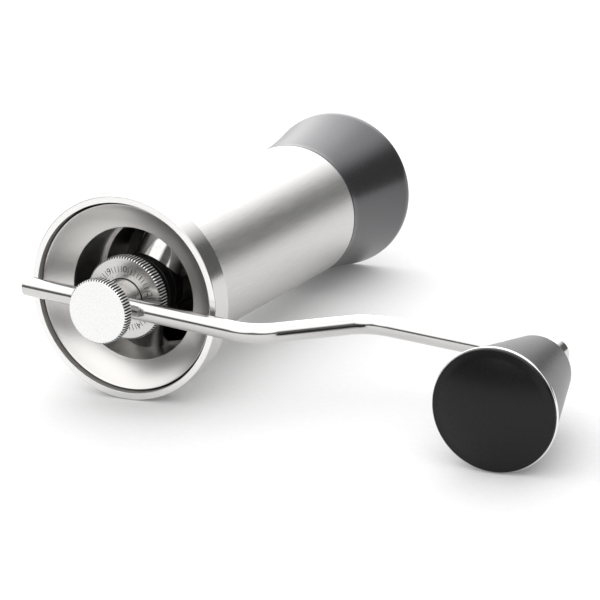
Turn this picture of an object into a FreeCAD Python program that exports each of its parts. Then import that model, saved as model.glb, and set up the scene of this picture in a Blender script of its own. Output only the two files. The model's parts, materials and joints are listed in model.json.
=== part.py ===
import FreeCAD, Part
import Sketcher
import math
import os

# Hand crank coffee grinder, in millimetres. +Z runs up the grinder's axis, the origin is the centre of
# the catch cup's bottom face, and the crank arm points along -X.

os.makedirs("parts", exist_ok=True)

DIMENSIONS = {
    # catch cup
    "cup_base_radius": 29.2,
    "cup_height": 40.5,
    "cup_edge": 0.9,
    "cup_wall": 1.9,
    "cup_floor": 3.0,
    "cup_flare_radius": 300.0,
    "cup_mouth_radius": 22.15,
    "cup_mouth_depth": 6.5,
    "strike_inner_radius": 22.6,
    "strike_outer_radius": 23.7,
    "strike_depth": 1.4,
    # body tube
    "seam_height": 40.7,
    "waist_radius": 24.3,
    "body_top_radius": 22.6,
    "body_top": 154.4,
    "bore_radius": 21.2,
    "spigot_radius": 21.9,
    "spigot_length": 5.5,
    "magnet_radius": 1.0,
    "magnet_length": 4.0,
    "magnet_circle": 22.85,
    "magnet_count": 8,
    # collar and funnel
    "collar_radius": 32.0,
    "collar_top": 162.0,
    "collar_band": 8.6,
    "collar_lip": 2.1,
    "funnel_groove": 0.7,
    "funnel_depth": 6.4,
    "funnel_throat": 21.0,
    "funnel_wall": 1.4,
    "funnel_rim_drop": 1.6,
    "funnel_curve": 22.0,
    "seal_radius": 0.32,
    # bearings
    "shaft_radius": 4.0,
    "bearing_outer": 8.0,
    "bearing_width": 5.0,
    "ball_radius": 1.2,
    "ball_circle": 6.0,
    "ball_count": 9,
    "race_play": 0.05,
    "shaft_play": 0.04,
    # upper bearing spider and its cover
    "fit_gap": 0.1,
    "spider_base": 124.3,
    "spider_ring_top": 137.3,
    "spider_hub_radius": 9.8,
    "spider_hub_top": 148.4,
    "ring_inner": 20.4,
    "spider_arm_half_width": 8.0,
    "spider_arm_curve": 9.0,
    "spider_ridge_inner": 149.2,
    "spider_ridge_outer": 144.8,
    "spider_arm_side": 136.2,
    "upper_bearing": 143.2,
    "cover_radius": 11.0,
    "cover_top": 156.2,
    "cover_bore": 8.6,
    "cover_base": 143.6,
    "hub_step": 0.6,
    "window_fillet": 3.0,
    "bearing_land": 5.1,
    # lower bridge
    "bridge_base": 68.0,
    "bridge_top": 77.0,
    "bridge_hub_radius": 11.0,
    "bridge_arm_half_width": 4.5,
    "bridge_arm_count": 3,
    "lower_bearing": 71.0,
    "sleeve_radius": 6.0,
    # burrs
    "burr_base": 44.0,
    "outer_burr_height": 18.0,
    "inner_burr_height": 20.0,
    "inner_burr_bottom": 18.0,
    "inner_burr_top": 11.4,
    "burr_gap": 0.35,
    "coarse_gap": 3.6,
    "fine_height": 6.0,
    "retainer_height": 2.6,
    "retainer_inner": 19.3,
    "tooth_count": 30,
    "tooth_width": 0.9,
    "tooth_depth": 0.6,
    "tooth_twist": 18.0,
    "flute_count": 6,
    "flute_width": 2.6,
    "flute_depth": 2.2,
    "slot_half_width": 1.5,
    "bolt_reach": 12.0,
    "bolt_head_radius": 4.8,
    "bolt_head_height": 3.2,
    "bolt_shank": 2.5,
    "washer_radius": 7.0,
    "washer_height": 1.2,
    "spring_wire": 0.55,
    "spring_radius": 5.4,
    "spring_turns": 4.0,
    "spring_room": 0.3,
    # adjusting dial
    "dial_radius": 13.0,
    "dial_base": 156.7,
    "dial_top": 160.9,
    "dial_boss_radius": 8.0,
    "dial_recess_radius": 6.7,
    "dial_recess_floor": 156.2,
    "edge_chamfer": 0.3,
    # crank hub, rod and thumb screw
    "hub_radius": 6.25,
    "hub_base": 158.3,
    "hub_top": 172.6,
    "hex_flats": 6.9,
    "hex_base": 157.2,
    "hex_top": 163.4,
    "socket_play": 0.06,
    "rod_radius": 3.0,
    "rod_play": 0.03,
    "rod_height": 167.6,
    "rod_drop": 30.1,
    "rod_stub": 30.8,
    "bend_start": 40.5,
    "bend_finish": 78.0,
    "bend_radius": 14.0,
    "arm_reach": 126.8,
    "cap_radius": 9.9,
    "cap_base": 172.7,
    "cap_top": 176.6,
    "stud_radius": 2.4,
    # knob
    "boss_radius": 4.8,
    "boss_base": 130.5,
    "boss_top": 146.2,
    "knob_base": 146.8,
    "knob_narrow_radius": 10.2,
    "knob_wide_radius": 17.6,
    "trim_base": 182.8,
    "trim_height": 1.0,
    "dome_height": 3.6,
    "dome_edge": 0.9,
    "cap_spigot": 6.0,
    "spindle_thread": 2.5,
    "knob_socket_radius": 12.0,
    "knob_socket_depth": 9.0,
    "bush_outer": 4.6,
    "bush_length": 9.0,
    "spindle_radius": 3.0,
    "spindle_play": 0.04,
    "spindle_head_radius": 4.4,
    "spindle_head_height": 2.2,
}

SPIDER_TURN = -15.0
BRIDGE_TURN = 42.0
SPRING_RUNS_PER_TURN = 14

document = FreeCAD.newDocument("coffee_grinder")
subparts = []


class Size:
    """A number together with the spreadsheet formula that gives it."""

    def __init__(self, value, formula):
        self.value = value
        self.formula = formula

    def __add__(self, other):
        return Size(self.value + number(other), f"({self.formula} + {formula(other)})")

    def __sub__(self, other):
        return Size(self.value - number(other), f"({self.formula} - {formula(other)})")

    def __mul__(self, factor):
        return Size(self.value * number(factor), f"({self.formula} * {formula(factor)})")

    def __truediv__(self, factor):
        return Size(self.value / number(factor), f"({self.formula} / {formula(factor)})")

    def __neg__(self):
        return Size(-self.value, f"(-{self.formula})")


def number(size):
    return size.value if isinstance(size, Size) else float(size)


def formula(size):
    return size.formula if isinstance(size, Size) else repr(float(size))


class Sizes:
    """Every driving dimension, by name."""


def make_sheet():
    """Writes the driving dimensions into the spreadsheet and returns them by name."""
    sheet = document.addObject("Spreadsheet::Sheet", "dims")
    sizes = Sizes()
    for row, (name, value) in enumerate(DIMENSIONS.items(), start=1):
        sheet.set(f"A{row}", name)
        sheet.set(f"B{row}", str(value))
        sheet.setAlias(f"B{row}", name)
        setattr(sizes, name, Size(float(value), f"dims.{name}"))
    document.recompute()
    return sizes


size = make_sheet()


def bind(item, prop, value):
    """Binds one property to its spreadsheet formula."""
    if isinstance(value, Size):
        item.setExpression(prop, value.formula)
    else:
        setattr(item, prop, value)


def keep(item, label):
    """Names a finished sub-part and puts it on the export list."""
    item.Label = label
    subparts.append(item)
    return item


# ---------------------------------------------------------------- sketches and turned pieces

def origin_feature(body, role):
    for feature in body.Origin.OriginFeatures:
        if feature.Role == role:
            return feature
    raise ValueError(role)


def new_sketch(body, name, role, offset=None):
    sketch = body.newObject("Sketcher::SketchObject", name)
    sketch.AttachmentSupport = [(origin_feature(body, role), "")]
    sketch.MapMode = "FlatFace"
    if offset is not None:
        sketch.AttachmentOffset = FreeCAD.Placement(
            FreeCAD.Vector(0, 0, number(offset)), FreeCAD.Rotation())
        sketch.setExpression("AttachmentOffset.Base.z", formula(offset))
    return sketch


def arc_middle(start, end, radius):
    """The middle point of the arc from start to end; a positive radius bulges to the right of the way."""
    chord = end.sub(start)
    half = chord.Length / 2
    rise = abs(radius) - math.sqrt(radius * radius - half * half)
    side = FreeCAD.Vector(chord.y, -chord.x, 0).normalize()
    return (start + end) * 0.5 + side * math.copysign(rise, radius)


def place_point(sketch, edge, end, across, up):
    """Fixes one end of an edge at its two coordinates."""
    for kind, axis, value in (("DistanceX", -2, across), ("DistanceY", -1, up)):
        if number(value) == 0:
            sketch.addConstraint(Sketcher.Constraint("PointOnObject", edge, end, axis))
        else:
            index = sketch.addConstraint(Sketcher.Constraint(kind, edge, end, number(value)))
            sketch.setExpression(f"Constraints[{index}]", formula(value))


def draw_outline(sketch, corners):
    """Closed outline. A corner is (across, up), or (across, up, radius) when the next edge is an arc."""
    points = [FreeCAD.Vector(number(corner[0]), number(corner[1]), 0) for corner in corners]
    ends = []
    for index, corner in enumerate(corners):
        start = points[index]
        end = points[(index + 1) % len(points)]
        bend = number(corner[2]) if len(corner) == 3 else 0
        if bend == 0:
            edge = sketch.addGeometry(Part.LineSegment(start, end))
        elif bend > 0:
            edge = sketch.addGeometry(Part.Arc(start, arc_middle(start, end, bend), end))
        else:
            edge = sketch.addGeometry(Part.Arc(end, arc_middle(start, end, bend), start))
        ends.append((edge, 2, 1) if bend < 0 else (edge, 1, 2))
    for index, corner in enumerate(corners):
        edge, first, last = ends[index]
        following, start_of_next, _ = ends[(index + 1) % len(ends)]
        sketch.addConstraint(Sketcher.Constraint("Coincident", edge, last, following, start_of_next))
        place_point(sketch, edge, first, corner[0], corner[1])
        if len(corner) == 3:
            bend = abs(number(corner[2]))
            constraint = sketch.addConstraint(Sketcher.Constraint("Radius", edge, bend))
            text = formula(corner[2] if number(corner[2]) > 0 else -corner[2])
            sketch.setExpression(f"Constraints[{constraint}]", text)


def draw_circle(sketch, across, up, radius):
    centre = FreeCAD.Vector(number(across), number(up), 0)
    edge = sketch.addGeometry(Part.Circle(centre, FreeCAD.Vector(0, 0, 1), number(radius)))
    index = sketch.addConstraint(Sketcher.Constraint("Radius", edge, number(radius)))
    sketch.setExpression(f"Constraints[{index}]", formula(radius))
    place_point(sketch, edge, 3, across, up)


def draw_polygon(sketch, sides, inscribed):
    """A regular polygon about the origin, sized by its inscribed radius."""
    corner = number(inscribed) / math.cos(math.pi / sides)
    points = []
    for index in range(sides):
        angle = 2 * math.pi * (index + 0.5) / sides
        points.append(FreeCAD.Vector(corner * math.cos(angle), corner * math.sin(angle), 0))
    for index, point in enumerate(points):
        sketch.addGeometry(Part.LineSegment(point, points[(index + 1) % sides]))
    circle = Part.Circle(FreeCAD.Vector(), FreeCAD.Vector(0, 0, 1), number(inscribed))
    guide = sketch.addGeometry(circle, True)
    sketch.addConstraint(Sketcher.Constraint("Coincident", guide, 3, -1, 1))
    radius = sketch.addConstraint(Sketcher.Constraint("Radius", guide, number(inscribed)))
    sketch.setExpression(f"Constraints[{radius}]", formula(inscribed))
    for index in range(sides):
        following = (index + 1) % sides
        sketch.addConstraint(Sketcher.Constraint("Coincident", index, 2, following, 1))
        sketch.addConstraint(Sketcher.Constraint("Tangent", index, guide))
        if index:
            sketch.addConstraint(Sketcher.Constraint("Equal", 0, index))
    sketch.addConstraint(Sketcher.Constraint("Vertical", sides - 1))


def new_body(label):
    return keep(document.addObject("PartDesign::Body", label), label)


def turn(body, corners, cut=False):
    """Turns an outline (radius, height) about the body's own Z axis."""
    name = body.Label + ("_groove" if cut else "_turning")
    sketch = new_sketch(body, name + "_outline", "XZ_Plane")
    draw_outline(sketch, corners)
    feature = body.newObject("PartDesign::Groove" if cut else "PartDesign::Revolution", name)
    feature.Profile = sketch
    feature.ReferenceAxis = (sketch, ["V_Axis"])
    feature.Angle = 360
    sketch.Visibility = False
    return feature


def turned(label, corners):
    body = new_body(label)
    turn(body, corners)
    return body


def extrude(body, name, sketch, length, cut=False, upward=True):
    """Pads or pockets a sketch that lies on a level plane, up or down from it."""
    document.recompute()
    feature = body.newObject("PartDesign::Pocket" if cut else "PartDesign::Pad", name)
    feature.Profile = sketch
    feature.Length = number(length)
    bind(feature, "Length", length)
    feature.Reversed = upward if cut else not upward
    sketch.Visibility = False
    return feature


def repeat_around(body, feature, count, name):
    pattern = body.newObject("PartDesign::PolarPattern", name)
    pattern.Originals = [feature]
    pattern.Axis = (origin_feature(body, "Z_Axis"), [""])
    pattern.Angle = 360
    pattern.Occurrences = int(number(count))
    if isinstance(count, Size):
        pattern.setExpression("Occurrences", count.formula)
    body.Tip = pattern
    return pattern


def solid_feature(label, shape):
    """A sub-part whose shape is built directly from the sheet's sizes."""
    feature = keep(document.addObject("Part::Feature", label), label)
    feature.Shape = shape
    return feature


def turned_shape(corners):
    """A plain solid of revolution from straight edges."""
    points = [FreeCAD.Vector(number(across), 0, number(up)) for across, up in corners]
    face = Part.Face(Part.makePolygon(points + points[:1]))
    return face.revolve(FreeCAD.Vector(), FreeCAD.Vector(0, 0, 1), 360)


def spin(item, degrees):
    """Turns a finished sub-part about the grinder's axis."""
    item.Placement = FreeCAD.Placement(
        FreeCAD.Vector(), FreeCAD.Rotation(FreeCAD.Vector(0, 0, 1), degrees))


def move_to_knob(item):
    item.setExpression("Placement.Base.x", "-dims.arm_reach")


# ---------------------------------------------------------------- catch cup

def make_catch_cup():
    edge = size.cup_edge
    wall = size.cup_wall
    floor = size.cup_floor
    shoulder = size.cup_height - size.cup_mouth_depth
    inner_base = size.cup_base_radius - wall
    cup = turned("catch_cup", [
        (0, 0),
        (size.cup_base_radius - edge, 0, edge),
        (size.cup_base_radius, edge),
        (size.cup_base_radius, edge * 3, -size.cup_flare_radius),
        (size.waist_radius, size.cup_height - edge * 3),
        (size.waist_radius, size.cup_height - size.edge_chamfer),
        (size.waist_radius - size.edge_chamfer, size.cup_height),
        (size.cup_mouth_radius, size.cup_height),
        (size.cup_mouth_radius, shoulder, size.cup_flare_radius),
        (inner_base, floor * 3, floor * -2),
        (inner_base - floor * 2, floor),
        (0, floor),
    ])
    slot_floor = size.cup_height - size.strike_depth
    turn(cup, [
        (size.strike_inner_radius, slot_floor),
        (size.strike_outer_radius, slot_floor),
        (size.strike_outer_radius, size.cup_height),
        (size.strike_inner_radius, size.cup_height),
    ], cut=True)
    turned("cup_strike_ring", [
        (size.strike_inner_radius, slot_floor),
        (size.strike_outer_radius, slot_floor),
        (size.strike_outer_radius, size.cup_height),
        (size.strike_inner_radius, size.cup_height),
    ])


# ---------------------------------------------------------------- body tube, collar and funnel

def make_body_shell():
    shell = turned("body_shell", [
        (size.bore_radius, size.seam_height - size.spigot_length),
        (size.spigot_radius, size.seam_height - size.spigot_length),
        (size.spigot_radius, size.seam_height),
        (size.waist_radius - size.edge_chamfer, size.seam_height),
        (size.waist_radius, size.seam_height + size.edge_chamfer),
        (size.body_top_radius, size.body_top),
        (size.bore_radius, size.body_top),
    ])
    sketch = new_sketch(shell, "magnet_hole_outline", "XY_Plane", size.seam_height)
    draw_circle(sketch, size.magnet_circle, 0, size.magnet_radius)
    hole = extrude(shell, "magnet_hole", sketch, size.magnet_length, cut=True)
    repeat_around(shell, hole, size.magnet_count, "magnet_holes")


def make_body_magnets():
    """Small rod magnets in the tube's bottom face; they hold the catch cup."""
    count = int(size.magnet_count.value)
    rods = []
    for index in range(count):
        angle = 2 * math.pi * index / count
        centre = FreeCAD.Vector(
            size.magnet_circle.value * math.cos(angle),
            size.magnet_circle.value * math.sin(angle),
            size.seam_height.value)
        rods.append(Part.makeCylinder(size.magnet_radius.value, size.magnet_length.value, centre))
    solid_feature("body_magnets", Part.makeCompound(rods))


def make_top_collar():
    base = size.collar_top - size.collar_band
    lip_inner = size.collar_radius - size.collar_lip
    throat_outer = size.body_top_radius
    seat_rim = size.collar_top - size.funnel_rim_drop - size.funnel_wall * 1.7
    chamfer = size.edge_chamfer
    turned("top_collar", [
        (throat_outer, base),
        (size.collar_radius - chamfer * 2, base),
        (size.collar_radius, base + chamfer * 2),
        (size.collar_radius, size.collar_top - chamfer),
        (size.collar_radius - chamfer, size.collar_top),
        (lip_inner + chamfer, size.collar_top),
        (lip_inner, size.collar_top - chamfer),
        (lip_inner, seat_rim),
        (lip_inner - size.funnel_groove, seat_rim, -size.funnel_curve),
        (throat_outer, size.body_top),
    ])


def make_funnel_insert():
    rim = size.collar_radius - size.collar_lip - size.funnel_groove
    rim_top = size.collar_top - size.funnel_rim_drop
    seat_rim = rim_top - size.funnel_wall * 1.7
    throat_lip = size.collar_top - size.funnel_depth
    turned("funnel_insert", [
        (size.funnel_throat, size.body_top),
        (size.body_top_radius, size.body_top, size.funnel_curve),
        (rim, seat_rim),
        (rim, rim_top),
        (rim - size.edge_chamfer, rim_top, -size.funnel_curve),
        (size.funnel_throat, throat_lip),
    ])
    seal = keep(document.addObject("Part::Torus", "funnel_seal"), "funnel_seal")
    bind(seal, "Radius1", rim + size.funnel_groove * 0.5)
    bind(seal, "Radius2", size.seal_radius)
    seal.setExpression("Placement.Base.z", (seat_rim + size.seal_radius).formula)


# ---------------------------------------------------------------- ball bearings

def make_bearing(name, base):
    """A deep groove bearing: two grooved races, a ring of balls and their cage."""
    middle = base + size.bearing_width * 0.5
    top = base + size.bearing_width
    groove = size.ball_radius + size.race_play
    outer_land = size.ball_circle + size.ball_radius * 0.72
    inner_land = size.ball_circle - size.ball_radius * 0.72
    reach = math.sqrt(number(groove) ** 2 - (number(size.ball_radius) * 0.72) ** 2)
    bore = size.shaft_radius + size.shaft_play
    turned(name + "_outer_race", [
        (size.bearing_outer, base),
        (size.bearing_outer, top),
        (outer_land, top),
        (outer_land, middle + reach, -groove),
        (outer_land, middle - reach),
        (outer_land, base),
    ])
    turned(name + "_inner_race", [
        (bore, base),
        (inner_land, base),
        (inner_land, middle - reach, -groove),
        (inner_land, middle + reach),
        (inner_land, top),
        (bore, top),
    ])
    count = int(size.ball_count.value)
    centres = []
    for index in range(count):
        angle = 2 * math.pi * index / count
        centres.append(FreeCAD.Vector(
            size.ball_circle.value * math.cos(angle),
            size.ball_circle.value * math.sin(angle),
            middle.value))
    balls = [Part.makeSphere(size.ball_radius.value, centre) for centre in centres]
    solid_feature(name + "_balls", Part.makeCompound(balls))
    half_height = size.ball_radius.value
    half_width = size.ball_radius.value * 0.45
    low = FreeCAD.Vector(0, 0, middle.value - half_height)
    ring = Part.makeCylinder(size.ball_circle.value + half_width, 2 * half_height, low)
    ring = ring.cut(Part.makeCylinder(size.ball_circle.value - half_width, 2 * half_height, low))
    pocket_radius = size.ball_radius.value + 2 * size.race_play.value
    pockets = [Part.makeSphere(pocket_radius, centre) for centre in centres]
    solid_feature(name + "_cage", ring.cut(Part.makeCompound(pockets)))


# ---------------------------------------------------------------- spiders that carry the bearings

def window_corners(inner, outer, half_width, arms):
    """The gap between two arms: two straight sides along the arms, joined by two arcs."""
    half_gap = math.pi / arms
    corners = []
    for radius, sign in ((inner, 1), (outer, 1), (outer, -1), (inner, -1)):
        angle = sign * (half_gap - math.asin(number(half_width) / number(radius)))
        across = radius * math.cos(angle)
        up = radius * math.sin(angle)
        corners.append([across, up])
    return corners


def cut_gaps(body, name, inner, outer, half_width, arms, base, height):
    """Cuts the gaps between a spider's arms."""
    sketch = new_sketch(body, f"{body.Label}_{name}_outline", "XY_Plane", base)
    corners = window_corners(inner, outer, half_width, int(number(arms)))
    corners[1].append(-outer)
    corners[3].append(inner)
    draw_outline(sketch, corners)
    gap = extrude(body, f"{body.Label}_{name}", sketch, height, cut=True)
    repeat_around(body, gap, arms, f"{body.Label}_{name}s")


def round_window_corners(body, rim_radius, radius):
    """Rounds the upright edges where the arms meet the rim."""
    document.recompute()
    base = body.Tip
    names = []
    for index, edge in enumerate(base.Shape.Edges, start=1):
        first = edge.firstVertex().Point
        last = edge.lastVertex().Point
        upright = math.hypot(first.x - last.x, first.y - last.y) < 1e-6 and abs(first.z - last.z) > 1
        at_rim = abs(math.hypot(first.x, first.y) - number(rim_radius)) < 1e-3
        if upright and at_rim:
            names.append(f"Edge{index}")
    fillet = body.newObject("PartDesign::Fillet", body.Label + "_fillets")
    fillet.Base = (base, names)
    bind(fillet, "Radius", radius)
    body.Tip = fillet


def half_round_arm():
    """An arm along +Y: upright sides and a half-round top that slopes down to the tube's wall."""
    half_width = size.spider_arm_half_width.value
    base = size.spider_base.value
    curve = size.spider_arm_curve.value
    inner = size.cover_radius.value
    outer = size.bore_radius.value
    fall = (size.spider_ridge_inner - size.spider_ridge_outer).value / (outer - inner)
    tilt = math.atan(fall)
    middle = size.spider_ridge_inner.value + fall * inner - curve / math.cos(tilt)
    way = FreeCAD.Vector(0, math.cos(tilt), -math.sin(tilt))
    corner = FreeCAD.Vector(-half_width, 0, base)
    top = Part.makeCylinder(curve, 2 * outer, FreeCAD.Vector(0, 0, middle), way)
    limit = Part.makeBox(2 * half_width, outer, size.cover_top.value - base, corner)
    lower = Part.makeBox(2 * half_width, outer, size.spider_arm_side.value - base, corner)
    return top.common(limit).fuse(lower)


def make_bearing_spider():
    """Two wide half-round arms that join the hub of the upper bearing to a ring in the tube."""
    base = size.spider_base
    bore = size.sleeve_radius + size.hub_step
    ring = turned_shape([
        (size.ring_inner, base),
        (size.bore_radius, base),
        (size.bore_radius, size.spider_ring_top),
        (size.ring_inner, size.spider_ring_top),
    ])
    hub = turned_shape([
        (bore, base),
        (size.spider_hub_radius, base),
        (size.spider_hub_radius, size.spider_hub_top),
        (bore, size.spider_hub_top),
    ])
    tube = turned_shape([
        (bore, base),
        (size.bore_radius, base),
        (size.bore_radius, size.cover_top),
        (bore, size.cover_top),
    ])
    cover_room = turned_shape([
        (size.spider_hub_radius, size.cover_base),
        (size.cover_radius + size.fit_gap, size.cover_base),
        (size.cover_radius + size.fit_gap, size.cover_top),
        (0, size.cover_top),
        (0, size.spider_hub_top),
        (size.spider_hub_radius, size.spider_hub_top),
    ])
    seat = turned_shape([
        (0, size.upper_bearing),
        (size.bearing_outer, size.upper_bearing),
        (size.bearing_outer, size.cover_top),
        (0, size.cover_top),
    ])
    arm = half_round_arm()
    opposite = arm.copy()
    opposite.rotate(FreeCAD.Vector(), FreeCAD.Vector(0, 0, 1), 180)
    arms = arm.fuse(opposite).common(tube)
    shape = ring.fuse([hub, arms]).cut([cover_room, seat]).removeSplitter()
    spin(solid_feature("bearing_spider", shape), SPIDER_TURN)


def make_bearing_cover():
    """Cap that fits over the hub and closes the upper bearing."""
    step = size.hub_step
    turned("bearing_cover", [
        (size.cover_bore, size.spider_hub_top),
        (size.spider_hub_radius, size.spider_hub_top),
        (size.spider_hub_radius, size.cover_base),
        (size.cover_radius, size.cover_base),
        (size.cover_radius, size.cover_top - step),
        (size.cover_radius - step, size.cover_top),
        (size.cover_bore, size.cover_top),
    ])


def make_lower_bridge():
    """Three arms that carry the lower bearing above the burrs."""
    bridge = turned("lower_bridge", [
        (size.sleeve_radius + size.hub_step * 2, size.bridge_base),
        (size.bore_radius, size.bridge_base),
        (size.bore_radius, size.bridge_top),
        (size.bearing_outer, size.bridge_top),
        (size.bearing_outer, size.lower_bearing),
        (size.sleeve_radius + size.hub_step * 2, size.lower_bearing),
    ])
    cut_gaps(bridge, "window", size.bridge_hub_radius, size.ring_inner, size.bridge_arm_half_width,
             size.bridge_arm_count, size.bridge_base, size.bridge_top - size.bridge_base)
    round_window_corners(bridge, size.ring_inner, size.window_fillet)
    spin(bridge, BRIDGE_TURN)


# ---------------------------------------------------------------- burrs, shaft and spring

def tooth_groove(radius, base, reach, lean, width, depth, twist):
    """A V-shaped cutter that lies along a cone's wall, leaning with it and twisted across it."""
    profile = Part.makePolygon([
        FreeCAD.Vector(-depth, 0, 0),
        FreeCAD.Vector(depth, -width, 0),
        FreeCAD.Vector(depth, width, 0),
        FreeCAD.Vector(-depth, 0, 0),
    ])
    cutter = Part.Face(profile).extrude(FreeCAD.Vector(0, 0, reach))
    cutter.rotate(FreeCAD.Vector(), FreeCAD.Vector(1, 0, 0), twist)
    cutter.rotate(FreeCAD.Vector(), FreeCAD.Vector(0, 1, 0), -lean)
    cutter.translate(FreeCAD.Vector(radius, 0, base))
    return cutter


def cut_teeth(blank, cutter, count):
    cutters = []
    for index in range(count):
        copy = cutter.copy()
        copy.rotate(FreeCAD.Vector(), FreeCAD.Vector(0, 0, 1), 360 * index / count)
        cutters.append(copy)
    return blank.cut(cutters)


def cone_lean():
    slope = (size.inner_burr_bottom - size.inner_burr_top).value / size.inner_burr_height.value
    return math.degrees(math.atan(slope))


def make_inner_burr():
    base = size.burr_base.value
    top = base + size.inner_burr_height.value
    blank = turned_shape([
        (size.shaft_radius, base),
        (size.inner_burr_bottom, base),
        (size.inner_burr_top, top),
        (size.shaft_radius, top),
    ])
    bottom = size.inner_burr_bottom.value
    lean = cone_lean()
    twist = size.tooth_twist.value
    fine = tooth_groove(bottom, base, size.fine_height.value * 1.4, lean,
                        size.tooth_width.value, size.tooth_depth.value, twist)
    coarse = tooth_groove(bottom, base, size.inner_burr_height.value * 1.2, lean,
                          size.flute_width.value, size.flute_depth.value, twist)
    rise = size.fine_height.value * 0.8
    coarse.translate(FreeCAD.Vector(-rise * math.tan(math.radians(lean)), 0, rise))
    toothed = cut_teeth(blank, fine, int(size.tooth_count.value))
    solid_feature("inner_burr", cut_teeth(toothed, coarse, int(size.flute_count.value)))


def make_outer_burr():
    base = size.burr_base.value
    lean = cone_lean()
    opening = size.burr_gap.value / math.cos(math.radians(lean))
    slope = math.tan(math.radians(lean))
    fine = size.fine_height.value
    bottom = size.inner_burr_bottom.value + opening
    waist = bottom - slope * fine
    top = base + size.outer_burr_height.value
    blank = turned_shape([
        (bottom, base),
        (size.bore_radius, base),
        (size.bore_radius, top),
        (waist - slope * fine + size.coarse_gap.value, top),
        (waist, base + fine),
    ])
    groove = tooth_groove(bottom, base - 1, fine * 1.3, lean, size.tooth_width.value,
                          size.tooth_depth.value, -size.tooth_twist.value)
    groove.rotate(FreeCAD.Vector(bottom, 0, base), FreeCAD.Vector(0, 0, 1), 180)
    groove.rotate(FreeCAD.Vector(bottom, 0, base), FreeCAD.Vector(0, 1, 0), -2 * lean)
    solid_feature("outer_burr", cut_teeth(blank, groove, int(size.tooth_count.value) + 2))


def make_burr_retainer():
    """Threaded ring that holds the outer burr, with slots for a spanner."""
    top = size.burr_base
    base = top - size.retainer_height
    ring = turned("burr_retaining_ring", [
        (size.retainer_inner, base),
        (size.bore_radius, base),
        (size.bore_radius, top),
        (size.retainer_inner, top),
    ])
    sketch = new_sketch(ring, "spanner_slot_outline", "XY_Plane", base)
    half = size.slot_half_width
    draw_outline(sketch, [
        (size.retainer_inner - 1, -half),
        (size.retainer_inner + 1, -half),
        (size.retainer_inner + 1, half),
        (size.retainer_inner - 1, half),
    ])
    slot = extrude(ring, "spanner_slot", sketch, size.retainer_height * 0.5, cut=True)
    repeat_around(ring, slot, 4, "spanner_slots")


def make_drive_shaft():
    """Round shaft with a shoulder above the inner burr and a hexagonal top for the crank."""
    burr_top = size.burr_base + size.inner_burr_height
    shaft = turned("drive_shaft", [
        (size.bolt_shank, size.burr_base + size.edge_chamfer),
        (size.shaft_radius, size.burr_base + size.edge_chamfer),
        (size.shaft_radius, burr_top),
        (size.shaft_radius + size.hub_step, burr_top),
        (size.shaft_radius + size.hub_step, burr_top + size.hub_step * 3),
        (size.shaft_radius, burr_top + size.hub_step * 3),
        (size.shaft_radius, size.hex_base),
        (0, size.hex_base),
        (0, size.burr_base + size.bolt_reach),
        (size.bolt_shank, size.burr_base + size.bolt_reach),
    ])
    sketch = new_sketch(shaft, "hex_outline", "XY_Plane", size.hex_base)
    draw_polygon(sketch, 6, size.hex_flats * 0.5)
    extrude(shaft, "hex_top", sketch, size.hex_top - size.hex_base)


def make_burr_fastening():
    """Washer and hexagon bolt under the inner burr."""
    washer_base = size.burr_base - size.washer_height
    turned("burr_washer", [
        (size.bolt_shank, washer_base),
        (size.washer_radius, washer_base),
        (size.washer_radius, size.burr_base),
        (size.bolt_shank, size.burr_base),
    ])
    bolt = turned("burr_bolt", [
        (0, washer_base),
        (size.bolt_shank, washer_base),
        (size.bolt_shank, size.burr_base + size.bolt_reach),
        (0, size.burr_base + size.bolt_reach),
    ])
    sketch = new_sketch(bolt, "bolt_head_outline", "XY_Plane", washer_base)
    draw_polygon(sketch, 6, size.bolt_head_radius)
    extrude(bolt, "bolt_head", sketch, size.bolt_head_height, upward=False)


def make_burr_spring():
    """Spring on the inner burr, as a chain of short straight runs, with room above for the finest grind."""
    base = size.burr_base.value + size.inner_burr_height.value + size.spring_wire.value
    top = size.lower_bearing.value - size.spring_room.value - size.spring_wire.value
    runs = int(size.spring_turns.value) * SPRING_RUNS_PER_TURN
    points = []
    for index in range(runs + 1):
        angle = 2 * math.pi * index / SPRING_RUNS_PER_TURN
        points.append(FreeCAD.Vector(
            size.spring_radius.value * math.cos(angle),
            size.spring_radius.value * math.sin(angle),
            base + (top - base) * index / runs))
    path = Part.makePolygon(points)
    section = Part.makeCircle(size.spring_wire.value, points[0], points[1].sub(points[0]))
    mitred_corners = 1
    wire = path.makePipeShell([Part.Wire(section)], True, False, mitred_corners)
    solid_feature("burr_spring", wire)


def make_bearing_sleeve():
    """Tube between the two inner races; the shaft runs inside it."""
    bore = size.shaft_radius + size.shaft_play
    base = size.lower_bearing + size.bearing_width
    turned("bearing_sleeve", [
        (bore, base),
        (size.bearing_land, base),
        (size.sleeve_radius, base + size.hub_step * 2),
        (size.sleeve_radius, size.upper_bearing - size.hub_step * 2),
        (size.bearing_land, size.upper_bearing),
        (bore, size.upper_bearing),
    ])


# ---------------------------------------------------------------- adjusting dial

def make_adjusting_dial():
    """Dial with a threaded boss that rests on the upper inner race and a recess for the crank hub."""
    thread = size.shaft_radius + size.shaft_play * 1.5
    foot = size.upper_bearing + size.bearing_width + size.race_play
    chamfer = size.edge_chamfer
    turned("adjusting_dial", [
        (thread, foot),
        (size.bearing_land, foot),
        (size.bearing_land, foot + size.hub_step),
        (size.dial_boss_radius, foot + size.hub_step),
        (size.dial_boss_radius, size.dial_base),
        (size.dial_radius - chamfer, size.dial_base),
        (size.dial_radius, size.dial_base + chamfer),
        (size.dial_radius, size.dial_top - chamfer),
        (size.dial_radius - chamfer, size.dial_top),
        (size.dial_recess_radius, size.dial_top),
        (size.dial_recess_radius, size.dial_recess_floor),
        (thread, size.dial_recess_floor),
    ])


# ---------------------------------------------------------------- crank

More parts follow.
